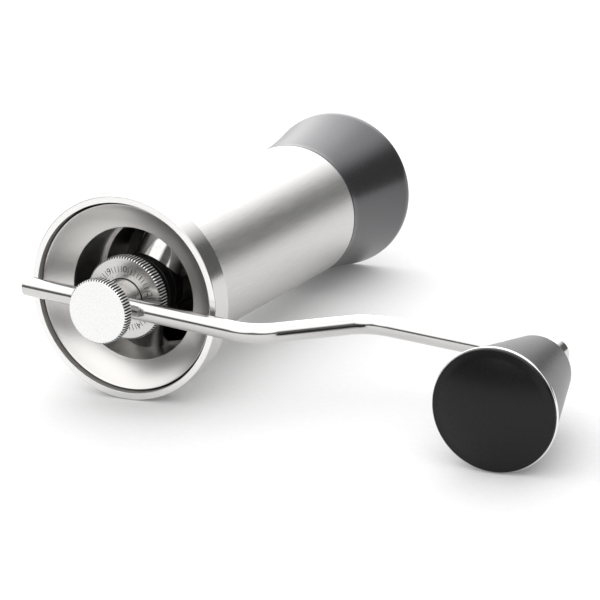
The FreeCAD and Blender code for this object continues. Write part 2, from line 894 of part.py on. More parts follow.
def make_crank_hub():
    """Neck with a hexagonal socket below, a cross bore for the rod and a thread for the thumb screw."""
    hub = turned("crank_hub", [
        (0, size.hub_base),
        (size.hub_radius - size.edge_chamfer, size.hub_base),
        (size.hub_radius, size.hub_base + size.edge_chamfer),
        (size.hub_radius, size.hub_top),
        (0, size.hub_top),
    ])
    socket = new_sketch(hub, "socket_outline", "XY_Plane", size.hub_base)
    draw_polygon(socket, 6, size.hex_flats * 0.5 + size.socket_play)
    extrude(hub, "hex_socket", socket, size.hex_top - size.hub_base, cut=True)
    cross = new_sketch(hub, "cross_bore_outline", "YZ_Plane", -size.hub_radius)
    draw_circle(cross, 0, size.rod_height, size.rod_radius + size.rod_play)
    extrude(hub, "cross_bore", cross, size.hub_radius * 2, cut=True)
    thread = new_sketch(hub, "thread_outline", "XY_Plane", size.hub_top)
    draw_circle(thread, 0, 0, size.stud_radius + size.fit_gap)
    extrude(hub, "thumb_screw_thread", thread, size.hub_top - size.rod_height, cut=True, upward=False)


def make_thumb_screw():
    """Knurled cap whose stud clamps the rod in the hub."""
    chamfer = size.edge_chamfer
    stud_end = size.rod_height + size.rod_radius + size.race_play
    turned("thumb_screw", [
        (0, stud_end),
        (size.stud_radius, stud_end),
        (size.stud_radius, size.cap_base),
        (size.cap_radius - chamfer, size.cap_base),
        (size.cap_radius, size.cap_base + chamfer),
        (size.cap_radius, size.cap_top - chamfer),
        (size.cap_radius - chamfer, size.cap_top),
        (0, size.cap_top),
    ])


def rod_route():
    """Corners and arc centres of the rod's centre line in the plane of the crank."""
    high = number(size.rod_height)
    low = high - number(size.rod_drop)
    radius = number(size.bend_radius)
    first = FreeCAD.Vector(-number(size.bend_start), high - radius, 0)
    second = FreeCAD.Vector(-number(size.bend_finish), low + radius, 0)
    gap = second.sub(first)
    turn_angle = math.atan2(-gap.y, -gap.x) + math.asin(2 * radius / gap.Length)
    normal = FreeCAD.Vector(-math.sin(turn_angle), math.cos(turn_angle), 0)
    return high, low, first, second, first + normal * radius, second - normal * radius, turn_angle


def make_crank_rod():
    """Round rod: straight through the hub, an S-bend down, and straight into the end boss."""
    rod = new_body("crank_rod")
    path = new_sketch(rod, "rod_path", "XZ_Plane")
    high, low, first, second, leave, join, turn_angle = rod_route()
    radius = number(size.bend_radius)
    upright = math.pi / 2
    start = FreeCAD.Vector(number(size.rod_stub), high, 0)
    finish = FreeCAD.Vector(-number(size.arm_reach + size.rod_radius), low, 0)
    top = FreeCAD.Vector(first.x, high, 0)
    bottom = FreeCAD.Vector(second.x, low, 0)
    up = FreeCAD.Vector(0, 0, 1)
    path.addGeometry(Part.LineSegment(start, top))
    path.addGeometry(Part.ArcOfCircle(Part.Circle(first, up, radius), upright, upright + turn_angle))
    path.addGeometry(Part.LineSegment(leave, join))
    path.addGeometry(Part.ArcOfCircle(Part.Circle(second, up, radius), -upright, turn_angle - upright))
    path.addGeometry(Part.LineSegment(bottom, finish))
    joints = ((0, 2, 1, 1), (1, 2, 2, 1), (2, 2, 3, 2), (3, 1, 4, 1))
    for edge, end, following, start_end in joints:
        path.addConstraint(Sketcher.Constraint("Tangent", edge, end, following, start_end))
    path.addConstraint(Sketcher.Constraint("Horizontal", 0))
    path.addConstraint(Sketcher.Constraint("Horizontal", 4))
    for edge in (1, 3):
        index = path.addConstraint(Sketcher.Constraint("Radius", edge, radius))
        path.setExpression(f"Constraints[{index}]", size.bend_radius.formula)
    set_coordinate(path, "DistanceX", 0, 1, size.rod_stub)
    set_coordinate(path, "DistanceY", 0, 1, size.rod_height)
    set_coordinate(path, "DistanceX", 1, 3, -size.bend_start)
    set_coordinate(path, "DistanceX", 3, 3, -size.bend_finish)
    set_coordinate(path, "DistanceX", 4, 2, -(size.arm_reach + size.rod_radius))
    set_coordinate(path, "DistanceY", 4, 2, size.rod_height - size.rod_drop)
    section = new_sketch(rod, "rod_section", "YZ_Plane", size.rod_stub)
    draw_circle(section, 0, size.rod_height, size.rod_radius)
    document.recompute()
    pipe = rod.newObject("PartDesign::AdditivePipe", "rod_pipe")
    pipe.Profile = section
    pipe.Spine = (path, [])
    path.Visibility = False
    section.Visibility = False


def set_coordinate(sketch, kind, edge, end, value):
    index = sketch.addConstraint(Sketcher.Constraint(kind, edge, end, number(value)))
    sketch.setExpression(f"Constraints[{index}]", formula(value))


def make_end_boss():
    """Upright boss at the rod's end that takes the rod from the side and the knob's spindle from above."""
    chamfer = size.edge_chamfer * 2
    boss = turned("rod_end_boss", [
        (0, size.boss_base),
        (size.boss_radius - chamfer, size.boss_base),
        (size.boss_radius, size.boss_base + chamfer),
        (size.boss_radius, size.boss_top),
        (0, size.boss_top),
    ])
    level = size.rod_height - size.rod_drop
    side = new_sketch(boss, "rod_hole_outline", "YZ_Plane", -size.rod_radius)
    draw_circle(side, 0, level, size.rod_radius)
    extrude(boss, "rod_hole", side, size.boss_radius * 2, cut=True)
    thread = new_sketch(boss, "spindle_hole_outline", "XY_Plane", size.boss_top)
    draw_circle(thread, 0, 0, size.spindle_thread)
    depth = size.boss_top - level - size.rod_radius - size.hub_step
    extrude(boss, "spindle_hole", thread, depth, cut=True, upward=False)
    move_to_knob(boss)


def make_knob_spindle():
    """Shoulder screw that the knob turns on."""
    root = size.rod_height - size.rod_drop + size.rod_radius + size.hub_step
    head = size.trim_base - size.knob_socket_depth
    spindle = turned("knob_spindle", [
        (0, root),
        (size.spindle_thread, root),
        (size.spindle_thread, size.boss_top),
        (size.spindle_radius, size.boss_top),
        (size.spindle_radius, head),
        (size.spindle_head_radius, head),
        (size.spindle_head_radius, head + size.spindle_head_height),
        (0, head + size.spindle_head_height),
    ])
    move_to_knob(spindle)


def make_knob():
    """Conical knob shell on two plain bushes, with a bright trim ring under a domed cap."""
    seat = size.trim_base - size.knob_socket_depth - size.hub_step
    round_edge = size.hub_step * 2
    shell = turned("knob_shell", [
        (size.bush_outer, size.knob_base),
        (size.knob_narrow_radius - round_edge, size.knob_base, round_edge),
        (size.knob_narrow_radius, size.knob_base + round_edge),
        (size.knob_wide_radius - size.edge_chamfer, size.trim_base),
        (size.knob_socket_radius, size.trim_base),
        (size.knob_socket_radius, seat),
        (size.bush_outer, seat),
    ])
    bore = size.spindle_radius + size.spindle_play
    lower = turned("lower_knob_bush", [
        (bore, size.knob_base),
        (size.bush_outer, size.knob_base),
        (size.bush_outer, size.knob_base + size.bush_length),
        (bore, size.knob_base + size.bush_length),
    ])
    upper = turned("upper_knob_bush", [
        (bore, seat - size.bush_length),
        (size.bush_outer, seat - size.bush_length),
        (size.bush_outer, seat),
        (bore, seat),
    ])
    trim_top = size.trim_base + size.trim_height
    trim = turned("knob_trim_ring", [
        (size.knob_socket_radius, size.trim_base),
        (size.knob_wide_radius - size.edge_chamfer, size.trim_base),
        (size.knob_wide_radius, size.trim_base + size.edge_chamfer),
        (size.knob_wide_radius, trim_top - size.edge_chamfer),
        (size.knob_wide_radius - size.edge_chamfer, trim_top),
        (size.knob_socket_radius, trim_top),
    ])
    edge = size.knob_wide_radius - size.edge_chamfer
    crown = edge - size.dome_edge
    rise = size.dome_height - size.dome_edge
    dome_radius = (crown * crown + rise * rise) / (rise * 2)
    cap = turned("knob_cap", [
        (0, trim_top - size.cap_spigot),
        (size.knob_socket_radius, trim_top - size.cap_spigot),
        (size.knob_socket_radius, trim_top),
        (edge, trim_top, size.dome_edge),
        (crown, trim_top + size.dome_edge, dome_radius),
        (0, trim_top + size.dome_height),
    ])
    for piece in (shell, lower, upper, trim, cap):
        move_to_knob(piece)


# ---------------------------------------------------------------- build, check and write

def build_everything():
    make_catch_cup()
    make_body_shell()
    make_body_magnets()
    make_top_collar()
    make_funnel_insert()
    make_bearing_spider()
    make_bearing("upper", size.upper_bearing)
    make_bearing_cover()
    make_lower_bridge()
    make_bearing("lower", size.lower_bearing)
    make_bearing_sleeve()
    make_outer_burr()
    make_burr_retainer()
    make_inner_burr()
    make_drive_shaft()
    make_burr_fastening()
    make_burr_spring()
    make_adjusting_dial()
    make_crank_hub()
    make_thumb_screw()
    make_crank_rod()
    make_end_boss()
    make_knob_spindle()
    make_knob()
    document.recompute()


def check_document():
    for item in document.Objects:
        if "Invalid" in item.State or "Error" in item.State:
            raise RuntimeError(f"{item.Name} failed: {item.State}")
    for item in subparts:
        if item.Shape.isNull() or not item.Shape.isValid() or item.Shape.Volume <= 0:
            raise RuntimeError(f"{item.Label} has no valid shape")


def write_parts():
    for item in subparts:
        item.Shape.exportStep(f"parts/{item.Label}.step")
        print(f"{item.Label:24s} {item.Shape.Volume:10.1f} mm3  solids {len(item.Shape.Solids)}")


build_everything()
check_document()
write_parts()
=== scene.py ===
import json
import math

import bmesh
import bpy
from mathutils import Matrix, Vector


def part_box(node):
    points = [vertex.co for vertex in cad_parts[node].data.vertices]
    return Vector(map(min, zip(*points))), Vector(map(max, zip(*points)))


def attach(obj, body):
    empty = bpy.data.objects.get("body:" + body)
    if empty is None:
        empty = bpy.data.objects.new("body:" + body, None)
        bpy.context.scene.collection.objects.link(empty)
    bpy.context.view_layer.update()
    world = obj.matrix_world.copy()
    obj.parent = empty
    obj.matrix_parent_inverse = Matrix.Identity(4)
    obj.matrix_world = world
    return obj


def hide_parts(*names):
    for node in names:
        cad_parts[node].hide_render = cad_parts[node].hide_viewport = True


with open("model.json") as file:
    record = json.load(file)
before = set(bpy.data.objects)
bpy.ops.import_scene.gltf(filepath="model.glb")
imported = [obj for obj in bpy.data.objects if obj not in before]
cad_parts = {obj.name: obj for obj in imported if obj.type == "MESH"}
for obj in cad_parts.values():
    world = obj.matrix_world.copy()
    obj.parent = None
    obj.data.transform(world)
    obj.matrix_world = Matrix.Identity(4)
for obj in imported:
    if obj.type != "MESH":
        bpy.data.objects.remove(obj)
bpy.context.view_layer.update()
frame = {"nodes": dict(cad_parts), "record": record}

# Hand crank coffee grinder lying on a pale floor, in metres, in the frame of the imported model. The grinder's
# axis is Z, the cup is at the bottom, and the crank arm points along -X. The floor touches the collar, the
# cup and the knob, so it stands almost upright in this frame.

MM = 0.001
AXIS = Vector((0, 0, 0))
FULL_TURN = 2 * math.pi
LATHE_STEPS = 192
ROUND_STEPS = 5
SHARP_ANGLE = math.radians(28)
NOISE_LOW, NOISE_HIGH = 0.3, 0.7

# the largest share of an edge that one rounding takes, and the shares of a knurl's depth around one tooth
LONGEST_ROUNDING = 0.49
TOOTH_SHAPE = (0.0, 0.0, 0.0, 1.0, 1.0)

# edges that touch the floor
CUP_EDGE = 0.9 * MM
COLLAR_EDGE = 0.6 * MM
TRIM_EDGE = 0.3 * MM


def top_of(node):
    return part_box(node)[1].z


def base_of(node):
    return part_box(node)[0].z


def radius_of(node):
    low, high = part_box(node)
    return (high.y - low.y) / 2


def centre_of(node):
    low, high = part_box(node)
    return Vector(((low.x + high.x) / 2, (low.y + high.y) / 2, 0))


KNOB_AXIS = centre_of("knob_trim_ring")


# ---------------------------------------------------------------- materials

def new_material(name):
    """A material with its principled shader, and its node tree to add to."""
    material = bpy.data.materials.new(name)
    material.use_nodes = True
    tree = material.node_tree
    return material, tree, tree.nodes["Principled BSDF"]


def surface_point(tree, centre):
    """The shaded point in the object's own frame, counted from a centre."""
    coordinates = tree.nodes.new("ShaderNodeTexCoord")
    shift = tree.nodes.new("ShaderNodeVectorMath")
    shift.operation = "SUBTRACT"
    shift.inputs[1].default_value = centre
    tree.links.new(coordinates.outputs["Object"], shift.inputs[0])
    return shift.outputs["Vector"]


def lathe_point(tree, centre):
    """(distance from the axis, 0, height): the same all the way round, as a lathe tool leaves a surface."""
    point = surface_point(tree, centre)
    parts = tree.nodes.new("ShaderNodeSeparateXYZ")
    tree.links.new(point, parts.inputs[0])
    flat = tree.nodes.new("ShaderNodeCombineXYZ")
    tree.links.new(parts.outputs["X"], flat.inputs["X"])
    tree.links.new(parts.outputs["Y"], flat.inputs["Y"])
    length = tree.nodes.new("ShaderNodeVectorMath")
    length.operation = "LENGTH"
    tree.links.new(flat.outputs[0], length.inputs[0])
    turned = tree.nodes.new("ShaderNodeCombineXYZ")
    tree.links.new(length.outputs["Value"], turned.inputs["X"])
    tree.links.new(parts.outputs["Z"], turned.inputs["Z"])
    return turned.outputs[0]


def grain(tree, point, size, detail=3.0):
    """Noise whose features have the given size along X, Y and Z, in metres."""
    mapping = tree.nodes.new("ShaderNodeMapping")
    mapping.inputs["Scale"].default_value = [1 / length for length in size]
    tree.links.new(point, mapping.inputs["Vector"])
    noise = tree.nodes.new("ShaderNodeTexNoise")
    noise.inputs["Scale"].default_value = 1.0
    noise.inputs["Detail"].default_value = detail
    tree.links.new(mapping.outputs[0], noise.inputs["Vector"])
    return noise.outputs["Fac"]


def remap(tree, value, low, high):
    """Spreads a noise value over a range."""
    node = tree.nodes.new("ShaderNodeMapRange")
    node.inputs["From Min"].default_value = NOISE_LOW
    node.inputs["From Max"].default_value = NOISE_HIGH
    node.inputs["To Min"].default_value = low
    node.inputs["To Max"].default_value = high
    tree.links.new(value, node.inputs["Value"])
    return node.outputs["Result"]


def shades(tree, value, dark, light):
    """A colour between two shades, by a noise value."""
    ramp = tree.nodes.new("ShaderNodeValToRGB")
    ramp.color_ramp.elements[0].position = NOISE_LOW
    ramp.color_ramp.elements[1].position = NOISE_HIGH
    ramp.color_ramp.elements[0].color = (*dark, 1)
    ramp.color_ramp.elements[1].color = (*light, 1)
    tree.links.new(value, ramp.inputs["Fac"])
    return ramp.outputs["Color"]


def relief(tree, shader, height, depth):
    """Small relief of a given depth in metres from a noise value."""
    bump = tree.nodes.new("ShaderNodeBump")
    bump.inputs["Distance"].default_value = depth
    bump.inputs["Strength"].default_value = 1.0
    tree.links.new(height, bump.inputs["Height"])
    tree.links.new(bump.outputs["Normal"], shader.inputs["Normal"])


def metal(name, tone, spread, rough, rough_spread, pattern, size, depth, centre=AXIS, detail=3.0,
          anisotropic=0.0, metallic=1.0, specular=0.5):
    """Metal whose tone, roughness and relief all follow one grain pattern."""
    material, tree, shader = new_material(name)
    point = lathe_point(tree, centre) if pattern == "turned" else surface_point(tree, centre)
    streaks = grain(tree, point, size, detail)
    dark = [channel * (1 - spread) for channel in tone]
    light = [min(channel * (1 + spread), 1.0) for channel in tone]
    tree.links.new(shades(tree, streaks, dark, light), shader.inputs["Base Color"])
    roughness = remap(tree, streaks, rough - rough_spread, rough + rough_spread)
    tree.links.new(roughness, shader.inputs["Roughness"])
    shader.inputs["Metallic"].default_value = metallic
    shader.inputs["Specular IOR Level"].default_value = specular
    if anisotropic:
        shader.inputs["Anisotropic"].default_value = anisotropic
        tangent = tree.nodes.new("ShaderNodeTangent")
        tangent.direction_type = "RADIAL"
        tangent.axis = "Z"
        tree.links.new(tangent.outputs[0], shader.inputs["Tangent"])
    relief(tree, shader, streaks, depth)
    return material


STEEL = (0.60, 0.595, 0.585)
WARM_STEEL = (0.60, 0.585, 0.57)
BLACK = (0.006, 0.006, 0.0065)

materials = {
    "body_steel": metal("brushed_body_steel", STEEL, 0.08, 0.34, 0.05, "straight",
                        (0.22 * MM, 0.22 * MM, 9 * MM), 0.002 * MM, detail=4.0, anisotropic=0.5),
    "turned_steel": metal("turned_collar_steel", STEEL, 0.05, 0.17, 0.04, "turned",
                          (0.12 * MM, 1, 0.12 * MM), 0.001 * MM),
    "funnel_satin": metal("satin_funnel_steel", (0.68, 0.665, 0.65), 0.02, 0.31, 0.03, "turned",
                          (0.25 * MM, 1, 0.25 * MM), 0.0003 * MM, metallic=0.93),
    "polished_steel": metal("polished_spider_steel", WARM_STEEL, 0.08, 0.10, 0.05, "straight",
                            (3 * MM, 3 * MM, 3 * MM), 0.01 * MM),
    "bearing_steel": metal("ground_bearing_steel", STEEL, 0.04, 0.10, 0.03, "turned",
                           (0.1 * MM, 1, 0.1 * MM), 0.0005 * MM),
    "cage_steel": metal("pressed_cage_steel", WARM_STEEL, 0.08, 0.28, 0.06, "straight",
                        (0.8 * MM, 0.8 * MM, 0.8 * MM), 0.003 * MM),
    "cover_black": metal("black_cover", (0.02, 0.02, 0.02), 0.3, 0.3, 0.06, "turned",
                         (0.15 * MM, 1, 0.15 * MM), 0.003 * MM, metallic=0.6),
    "burr_steel": metal("hardened_burr_steel", (0.36, 0.36, 0.37), 0.2, 0.3, 0.08, "straight",
                        (0.5 * MM, 0.5 * MM, 0.5 * MM), 0.006 * MM),
    "spring_steel": metal("spring_wire_steel", (0.5, 0.49, 0.47), 0.1, 0.25, 0.05, "straight",
                          (0.3 * MM, 0.3 * MM, 0.3 * MM), 0.002 * MM),
    "dial_steel": metal("turned_dial_steel", STEEL, 0.06, 0.22, 0.05, "turned",
                        (0.1 * MM, 1, 0.1 * MM), 0.001 * MM),
    "hub_steel": metal("turned_hub_steel", WARM_STEEL, 0.08, 0.2, 0.05, "turned",
                       (0.12 * MM, 1, 0.12 * MM), 0.002 * MM),
    "cap_steel": metal("brushed_cap_steel", (0.87, 0.87, 0.865), 0.04, 0.3, 0.06, "straight",
                       (5 * MM, 0.12 * MM, 5 * MM), 0.001 * MM),
    "rod_steel": metal("drawn_rod_steel", STEEL, 0.05, 0.13, 0.04, "straight",
                       (12 * MM, 0.25 * MM, 0.25 * MM), 0.0008 * MM),
    "trim_chrome": metal("chromed_trim", (0.85, 0.85, 0.85), 0.02, 0.07, 0.02, "turned",
                         (0.2 * MM, 1, 0.2 * MM), 0.0004 * MM, centre=KNOB_AXIS),
    "knob_black": metal("soft_black_knob", BLACK, 0.15, 0.26, 0.04, "straight",
                        (0.18 * MM, 0.18 * MM, 0.18 * MM), 0.002 * MM, metallic=0.0, specular=0.25),
    "cup_black": metal("satin_black_cup", (0.09, 0.09, 0.094), 0.1, 0.25, 0.04, "straight",
                       (0.14 * MM, 0.14 * MM, 0.14 * MM), 0.004 * MM, metallic=0.85),
    "seal_rubber": metal("seal_rubber", (0.01, 0.01, 0.01), 0.2, 0.6, 0.05, "straight",
                         (0.3 * MM, 0.3 * MM, 0.3 * MM), 0.004 * MM, metallic=0.0),
    "bush_bronze": metal("bush_bronze", (0.42, 0.26, 0.12), 0.12, 0.35, 0.06, "turned",
                         (0.15 * MM, 1, 0.15 * MM), 0.002 * MM, centre=KNOB_AXIS),
    "magnet_nickel": metal("plated_magnet", (0.62, 0.6, 0.56), 0.05, 0.15, 0.03, "straight",
                           (0.5 * MM, 0.5 * MM, 0.5 * MM), 0.001 * MM),
    "strike_steel": metal("strike_ring_steel", (0.5, 0.5, 0.5), 0.06, 0.25, 0.05, "turned",
                          (0.15 * MM, 1, 0.15 * MM), 0.001 * MM),
}

# materials of single faces and small inlays on the pieces

mark_fill = metal("mark_fill", (0.02, 0.02, 0.02), 0.3, 0.5, 0.1, "straight",
                  (0.2 * MM, 0.2 * MM, 0.2 * MM), 0.002 * MM, metallic=0.0)

# near-black copy of the knurl steel for the grooves' faces: painted shade where the grooves fall in shadow
painted_shade_grooves = metal("knurl_painted_shade", (0.02, 0.02, 0.019), 0.2, 0.5, 0.08, "straight",
                     (0.2 * MM, 0.2 * MM, 0.2 * MM), 0.002 * MM, metallic=0.3)

tooth_steel = metal("knurl_teeth", (0.6, 0.595, 0.585), 0.1, 0.45, 0.06, "straight",
                    (0.2 * MM, 0.2 * MM, 0.2 * MM), 0.002 * MM, metallic=0.2)

# lighter copy of the collar steel for the lip's top face: painted light
painted_light_lip = metal("lip_face_painted_light", (0.84, 0.835, 0.825), 0.03, 0.2, 0.04, "turned",
                  (0.12 * MM, 1, 0.12 * MM), 0.0005 * MM)

# darker, duller copy of the collar steel for the groove under the lip: painted shade
painted_shade_groove_wall = metal("groove_wall_painted_shade", (0.40, 0.385, 0.37), 0.06, 0.5, 0.06, "turned",
                 (0.12 * MM, 1, 0.12 * MM), 0.0005 * MM, metallic=0.4)


def paint_cad_nodes():
    """Gives every CAD node the material of its slot in the record."""
    for subpart in frame["record"]["subparts"]:
        mesh = frame["nodes"][subpart["node"]].data
        mesh.materials.clear()
        mesh.materials.append(materials[subpart["material_slot"]])


# ---------------------------------------------------------------- profiles and turned pieces

def arc(start, end, radius, steps=20):
    """Points after start, up to end, on a circle; a positive radius bulges to the right of the way."""
    start, end = Vector(start), Vector(end)
    chord = end - start
    right = Vector((chord.y, -chord.x)).normalized() * math.copysign(1, radius)
    centre = (start + end) / 2 - right * math.sqrt(radius * radius - chord.length_squared / 4)
    first, last = start - centre, end - centre
    sweep = first.angle_signed(last)
    points = []
    for step in range(1, steps + 1):
        turned = first.copy()
        turned.rotate(Matrix.Rotation(-sweep * step / steps, 2))
        points.append(tuple(centre + turned))
    return points


def rounded(corners):
    """Profile points from corners (radius, height); a third value rounds that corner."""
    points = []
    for index, corner in enumerate(corners):
        here = Vector(corner[:2])
        if len(corner) == 2:
            points.append(here)
            continue
        back = Vector(corners[index - 1][:2]) - here
        ahead = Vector(corners[(index + 1) % len(corners)][:2]) - here
        reach = corner[2] / math.tan(back.angle(ahead) / 2)
        reach = min(reach, back.length * LONGEST_ROUNDING, ahead.length * LONGEST_ROUNDING)
        start = here + back.normalized() * reach
        end = here + ahead.normalized() * reach
        for step in range(ROUND_STEPS + 1):
            share = step / ROUND_STEPS
            points.append(start * (1 - share) ** 2 + here * (2 * share * (1 - share)) + end * share ** 2)
    return points


def lathe(name, corners, centre=AXIS, teeth=0, tooth_depth=0.0, knurled_above=0.0, knurled_reach=0.0):
    """A mesh turned about an upright axis. With teeth, points beyond knurled_reach and above knurled_above
    are cut by straight grooves."""
    profile = rounded(corners)
    steps = teeth * len(TOOTH_SHAPE) if teeth else LATHE_STEPS
    shape = bmesh.new()
    rings = []
    for reach, height in profile:
        on_axis = reach < 0.001 * MM
        if on_axis:
            rings.append([shape.verts.new((centre.x, centre.y, height))])
            continue
        toothed = teeth and reach > knurled_reach and height > knurled_above
        ring = []
        for step in range(steps):
            angle = FULL_TURN * step / steps
            groove = tooth_depth * TOOTH_SHAPE[step % len(TOOTH_SHAPE)] if toothed else 0
            ring.append(shape.verts.new((
                centre.x + (reach - groove) * math.cos(angle),
                centre.y + (reach - groove) * math.sin(angle),
                height)))
        rings.append(ring)
    open_ended = len(rings[0]) == 1 and len(rings[-1]) == 1
    count = len(rings) - 1 if open_ended else len(rings)
    for index in range(count):
        bridge_rings(shape, rings[index], rings[(index + 1) % len(rings)])
    return finish_mesh(shape, name)


def mark_knurl(mesh, above, depth):
    """Gives the second material, a near-black painted shade, to the faces in a knurl's grooves and the third
    to the tops of its teeth.
    """
    flattest, deepest, tooth_top = 0.5, depth * 1.05, depth * 0.3
    outer = max(vertex.co.xy.length for vertex in mesh.vertices)
    for face in mesh.polygons:
        sunk = outer - face.center.xy.length
        if face.center.z > above and abs(face.normal.z) < flattest and sunk < deepest:
            face.material_index = 1 if sunk > tooth_top else 2


def bridge_rings(shape, lower, upper):
    """Faces between two rings of vertices; a ring of one vertex is a pole."""
    steps = max(len(lower), len(upper))
    for step in range(steps):
        following = (step + 1) % steps
        corners = []
        for vertex in (lower[step % len(lower)], lower[following % len(lower)],
                       upper[following % len(upper)], upper[step % len(upper)]):
            if vertex not in corners:
                corners.append(vertex)
        shape.faces.new(corners)


def finish_mesh(shape, name):
    """Turns a bmesh into a mesh with outward faces and smooth shading that breaks at its sharp edges."""
    bmesh.ops.recalc_face_normals(shape, faces=shape.faces)
    mesh = bpy.data.meshes.new(name)
    shape.to_mesh(mesh)
    shape.free()
    mesh.shade_smooth()
    mesh.set_sharp_from_angle(angle=SHARP_ANGLE)
    return mesh


def add_piece(name, mesh, body, slot, *replaced, material=None, details=()):
    """Puts a finished mesh into the scene as a piece that rides on a body and stands for CAD nodes.
    Details are the materials of its second and later groups of faces."""
    piece = bpy.data.objects.new(name, mesh)
    bpy.context.scene.collection.objects.link(piece)
    for layer in (material or materials[slot], *details):
        piece.data.materials.append(layer)
    normals = piece.modifiers.new("even_normals", "WEIGHTED_NORMAL")
    normals.keep_sharp = True
    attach(piece, body)
    if replaced:
        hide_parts(*replaced)
    return piece


# ---------------------------------------------------------------- cup, collar and funnel

def make_catch_cup():
    """Flared cup with a rounded foot, a groove for the strike ring and a bowl inside."""
    base, waist = radius_of("catch_cup"), 24.3 * MM
    top = top_of("catch_cup")
    ring_low, ring_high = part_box("cup_strike_ring")
    ring_outer, ring_inner = ring_high.y, ring_high.y - 1.1 * MM
    mouth, shoulder, wall, floor = 22.15 * MM, top - 6.5 * MM, 1.9 * MM, 3.0 * MM
    foot, neck, flare, blend = 2.7 * MM, top - 2.7 * MM, 300 * MM, 70 * MM
    outer = arc((base, foot), (waist, neck), -flare)
    inner_base = base - wall
    inner = arc((mouth, shoulder), (inner_base, floor * 3), flare)
    corners = [(0, 0), (base, 0, CUP_EDGE), (base, foot, blend), *outer[:-1], (waist, neck, blend),
               (waist, top, 0.3 * MM), (ring_outer, top), (ring_outer, ring_low.z), (ring_inner, ring_low.z),
               (ring_inner, top), (mouth, top, 0.15 * MM), (mouth, shoulder), *inner[:-1],
               (inner_base, floor, 5 * MM), (0, floor)]
    add_piece("cup_turning", lathe("cup_turning", corners), "cup", "cup_black", "catch_cup")


def make_collar_and_funnel():
    """Collar ring with a faced lip whose top face is painted light and whose groove walls are painted shade,
    and the satin funnel that sits below the lip.
    """
    outer, base, top = radius_of("top_collar"), base_of("top_collar"), top_of("top_collar")
    rim, rim_top, foot = radius_of("funnel_insert"), top_of("funnel_insert"), base_of("funnel_insert")
    groove, wall, bowl, near, rim_edge = 0.7 * MM, 2.38 * MM, 22 * MM, 0.05 * MM, 0.1 * MM
    tube, throat, throat_lip = 22.6 * MM, 21.0 * MM, foot + 1.2 * MM
    seat = rim_top - wall
    lip = rim + groove
    under = arc((tube, foot), (rim, seat), bowl)
    collar = [(tube, base), (outer, base, COLLAR_EDGE), (outer, top, 0.3 * MM), (lip, top, 0.25 * MM),
              (lip, seat), (rim, seat), *reversed(under[:-1]), (tube, foot)]
    mesh = lathe("collar_turning", collar)
    # the top face takes the painted light, and the groove walls and seat under the lip take the painted shade
    for face in mesh.polygons:
        if face.center.z > top - near:
            face.material_index = 1
        elif face.center.z > seat - near and face.center.xy.length < lip + near:
            face.material_index = 2
    add_piece("collar_turning", mesh, "body", "turned_steel", "top_collar", details=(painted_light_lip, painted_shade_groove_wall))
    bowl_side = arc((rim - rim_edge, rim_top), (throat, throat_lip), -bowl)
    funnel = [(throat, foot), (tube, foot), *under, (rim, rim_top, rim_edge), *bowl_side[:-1],
              (throat, throat_lip, 0.15 * MM)]
    add_piece("funnel_turning", lathe("funnel_turning", funnel), "body", "funnel_satin", "funnel_insert")


def make_bearing_cover():
    """Black cap over the upper bearing's hub, with a few fine turned rings."""
    outer, base, top = radius_of("bearing_cover"), base_of("bearing_cover"), top_of("bearing_cover")
    bore, hub, roof, step = 8.6 * MM, 9.8 * MM, base + 4.8 * MM, 0.6 * MM
    ring_depth, ring_heights = 0.16 * MM, (base + 4.6 * MM, base + 8.6 * MM)
    corners = [(bore, roof), (hub, roof), (hub, base), (outer, base, 0.15 * MM)]
    for height in ring_heights:
        corners += [(outer, height - ring_depth), (outer - ring_depth, height), (outer, height + ring_depth)]
    corners += [(outer, top - step, 0.2 * MM), (outer - step, top, 0.2 * MM), (bore, top)]
    add_piece("cover_turning", lathe("cover_turning", corners), "body", "cover_black", "bearing_cover")


# ---------------------------------------------------------------- dial and thumb screw

def numeral_mesh(text, size, depth):
    """One numeral as a thin solid in the XY plane, centred, with its top along +Y."""
    curve = bpy.data.curves.new("numeral", "FONT")
    curve.body = text
    curve.size = size
    curve.extrude = depth / 2
    curve.align_x = "CENTER"
    curve.align_y = "CENTER"
    holder = bpy.data.objects.new("numeral", curve)
    bpy.context.scene.collection.objects.link(holder)
    bpy.context.view_layer.update()
    mesh = bpy.data.meshes.new_from_object(holder.evaluated_get(bpy.context.evaluated_depsgraph_get()))
    bpy.data.objects.remove(holder)
    return mesh


def dial_marks(face, depth):
    """Numerals 0 to 9 clockwise from above, with four strokes between neighbours, as thin solids."""
    circle, numeral_size, stroke_length, stroke_width, strokes = 9.2 * MM, 2.9 * MM, 1.9 * MM, 0.2 * MM, 4
    numerals = 10
    first = math.radians(270)
    shape = bmesh.new()
    step = FULL_TURN / numerals
    for index in range(numerals):
        angle = first - index * step
        place_mark(shape, numeral_mesh(str(index), numeral_size, depth), circle, angle, face)
        for stroke in range(1, strokes + 1):
            box = bmesh.new()
            bmesh.ops.create_cube(box, size=1.0)
            bmesh.ops.scale(box, vec=(stroke_width, stroke_length, depth), verts=box.verts)
            mesh = bpy.data.meshes.new("stroke")
            box.to_mesh(mesh)
            box.free()
            place_mark(shape, mesh, circle, angle - step * stroke / (strokes + 1), face)
    bmesh.ops.remove_doubles(shape, verts=shape.verts, dist=0.002 * MM)
    return shape


def place_mark(shape, mesh, circle, angle, face):
    """Adds a mark to the dial with its top outwards."""
    outward = Vector((math.cos(angle), math.sin(angle), 0))
    across = Vector((outward.y, -outward.x, 0))
    place = outward * circle
    mesh.transform(Matrix((
        (across.x, outward.x, 0, place.x),
        (across.y, outward.y, 0, place.y),
        (0, 0, 1, face),
        (0, 0, 0, 1))))
    shape.from_mesh(mesh)
    bpy.data.meshes.remove(mesh)


